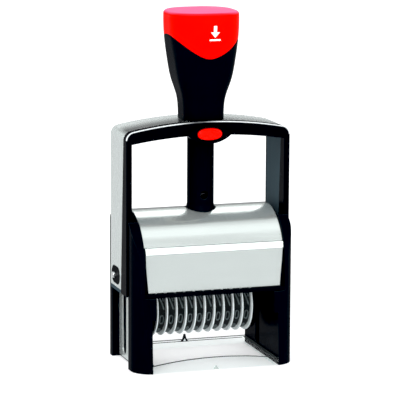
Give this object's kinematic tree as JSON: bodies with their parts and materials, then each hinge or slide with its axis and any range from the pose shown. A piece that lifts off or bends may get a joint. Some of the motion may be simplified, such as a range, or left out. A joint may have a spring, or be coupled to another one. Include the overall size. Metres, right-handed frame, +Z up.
{
  "type": "self-inking numbering stamp",
  "caption": "Heavy-duty self-inking numbering stamp: a handle and steel arch press a flipping cradle of figure bands from an ink pad onto paper; the pad drawer slides out.",
  "frame": {"origin": "on the table under the axis of the handle and its post, in the middle of the body's width and depth", "axes": "+Z up along the handle, +X to the right seen from the front, +Y to the rear"},
  "size_m": [0.073, 0.0456, 0.1463],
  "materials": {
    "black_gloss": "moulded black plastic with a soft gloss",
    "black_matt": "fine-textured black plastic",
    "core_grey": "dark grey moulded plastic",
    "satin_steel": "satin nickel-plated steel sheet",
    "red_gloss": "glossy red plastic",
    "white_plastic": "white moulded plastic",
    "band_rubber": "black rubber with raised figures",
    "ink_foam": "ink-soaked felt pad",
    "clear_plastic": "clear moulded plastic",
    "bright_steel": "bright turned steel",
    "spring_steel": "drawn spring steel",
    "bush_plastic": "natural bearing plastic"
  },
  "bodies": {
    "base": {"left_cheek": "black_gloss", "right_cheek": "black_gloss", "left_side_plate": "satin_steel", "right_side_plate": "satin_steel", "top_deck": "black_matt", "front_crossbar": "black_matt", "rear_panel": "black_matt", "hood": "satin_steel", "centre_post": "black_gloss", "clear_base": "clear_plastic", "housing_screws": "bright_steel", "main_spring": "spring_steel"},
    "drawer": {"pad_tray": "black_matt", "ink_pad": "ink_foam", "pad_front_panel": "satin_steel"},
    "plunger": {"steel_band": "satin_steel", "arch_core": "core_grey", "front_bezel": "black_gloss", "rear_bezel": "black_gloss", "handle_grip": "black_gloss", "handle_cap": "red_gloss", "guide_rod": "bright_steel", "rod_nut": "bright_steel", "post_bush": "bush_plastic", "left_axle_bush": "black_gloss", "right_axle_bush": "black_gloss", "arch_screws": "bright_steel", "lock_spring": "spring_steel"},
    "lock": {"lock_button": "red_gloss"},
    "cradle": {"cradle_left_plate": "core_grey", "cradle_right_plate": "core_grey", "print_bridge": "core_grey", "wheel_axle": "bright_steel", "pivot_axle": "bright_steel", "slot_rollers": "bright_steel", "cam_pins": "bright_steel", "detent_spring": "spring_steel", "end_disc": "white_plastic", "axle_clips": "bright_steel", "band_01": "band_rubber", "band_02": "band_rubber", "band_03": "band_rubber", "band_04": "band_rubber", "band_05": "band_rubber", "band_06": "band_rubber", "band_07": "band_rubber", "band_08": "band_rubber", "band_09": "band_rubber", "band_10": "band_rubber"},
    "wheel_01": {"wheel_01": "white_plastic"},
    "wheel_02": {"wheel_02": "white_plastic"},
    "wheel_03": {"wheel_03": "white_plastic"},
    "wheel_04": {"wheel_04": "white_plastic"},
    "wheel_05": {"wheel_05": "white_plastic"},
    "wheel_06": {"wheel_06": "white_plastic"},
    "wheel_07": {"wheel_07": "white_plastic"},
    "wheel_08": {"wheel_08": "white_plastic"},
    "wheel_09": {"wheel_09": "white_plastic"},
    "wheel_10": {"wheel_10": "white_plastic"}
  },
  "joints": [
    {"name": "plunger_slide", "type": "slide", "parent": "base", "child": "plunger", "axis": [0, 0, -1], "range_m": [0, 0.0264], "stiffness_N_per_m": 300, "springref_m": -0.015, "deforming": ["main_spring"]},
    {"name": "cradle_flip", "type": "hinge", "parent": "plunger", "child": "cradle", "pos_m": [0, 0.0044, 0.0364], "axis": [-1, 0, 0], "range_deg": [0, 180]},
    {"name": "lock_press", "type": "slide", "parent": "plunger", "child": "lock", "axis": [0, 1, 0], "range_m": [0, 0.0012], "stiffness_N_per_m": 400, "springref_m": -0.001},
    {"name": "pad_slide", "type": "slide", "parent": "base", "child": "drawer", "axis": [0, -1, 0], "range_m": [0, 0.03]},
    {"name": "wheel_01_turn", "type": "hinge", "parent": "cradle", "child": "wheel_01", "pos_m": [0, 0.0044, 0.022], "axis": [1, 0, 0], "continuous": true},
    {"name": "wheel_02_turn", "type": "hinge", "parent": "cradle", "child": "wheel_02", "pos_m": [0, 0.0044, 0.022], "axis": [1, 0, 0], "continuous": true},
    {"name": "wheel_03_turn", "type": "hinge", "parent": "cradle", "child": "wheel_03", "pos_m": [0, 0.0044, 0.022], "axis": [1, 0, 0], "continuous": true},
    {"name": "wheel_04_turn", "type": "hinge", "parent": "cradle", "child": "wheel_04", "pos_m": [0, 0.0044, 0.022], "axis": [1, 0, 0], "continuous": true},
    {"name": "wheel_05_turn", "type": "hinge", "parent": "cradle", "child": "wheel_05", "pos_m": [0, 0.0044, 0.022], "axis": [1, 0, 0], "continuous": true},
    {"name": "wheel_06_turn", "type": "hinge", "parent": "cradle", "child": "wheel_06", "pos_m": [0, 0.0044, 0.022], "axis": [1, 0, 0], "continuous": true},
    {"name": "wheel_07_turn", "type": "hinge", "parent": "cradle", "child": "wheel_07", "pos_m": [0, 0.0044, 0.022], "axis": [1, 0, 0], "continuous": true},
    {"name": "wheel_08_turn", "type": "hinge", "parent": "cradle", "child": "wheel_08", "pos_m": [0, 0.0044, 0.022], "axis": [1, 0, 0], "continuous": true},
    {"name": "wheel_09_turn", "type": "hinge", "parent": "cradle", "child": "wheel_09", "pos_m": [0, 0.0044, 0.022], "axis": [1, 0, 0], "continuous": true},
    {"name": "wheel_10_turn", "type": "hinge", "parent": "cradle", "child": "wheel_10", "pos_m": [0, 0.0044, 0.022], "axis": [1, 0, 0], "continuous": true}
  ],
  "couplings": [
    {"joint": "cradle_flip", "follows": "plunger_slide", "rad_per_m": 119}
  ]
}
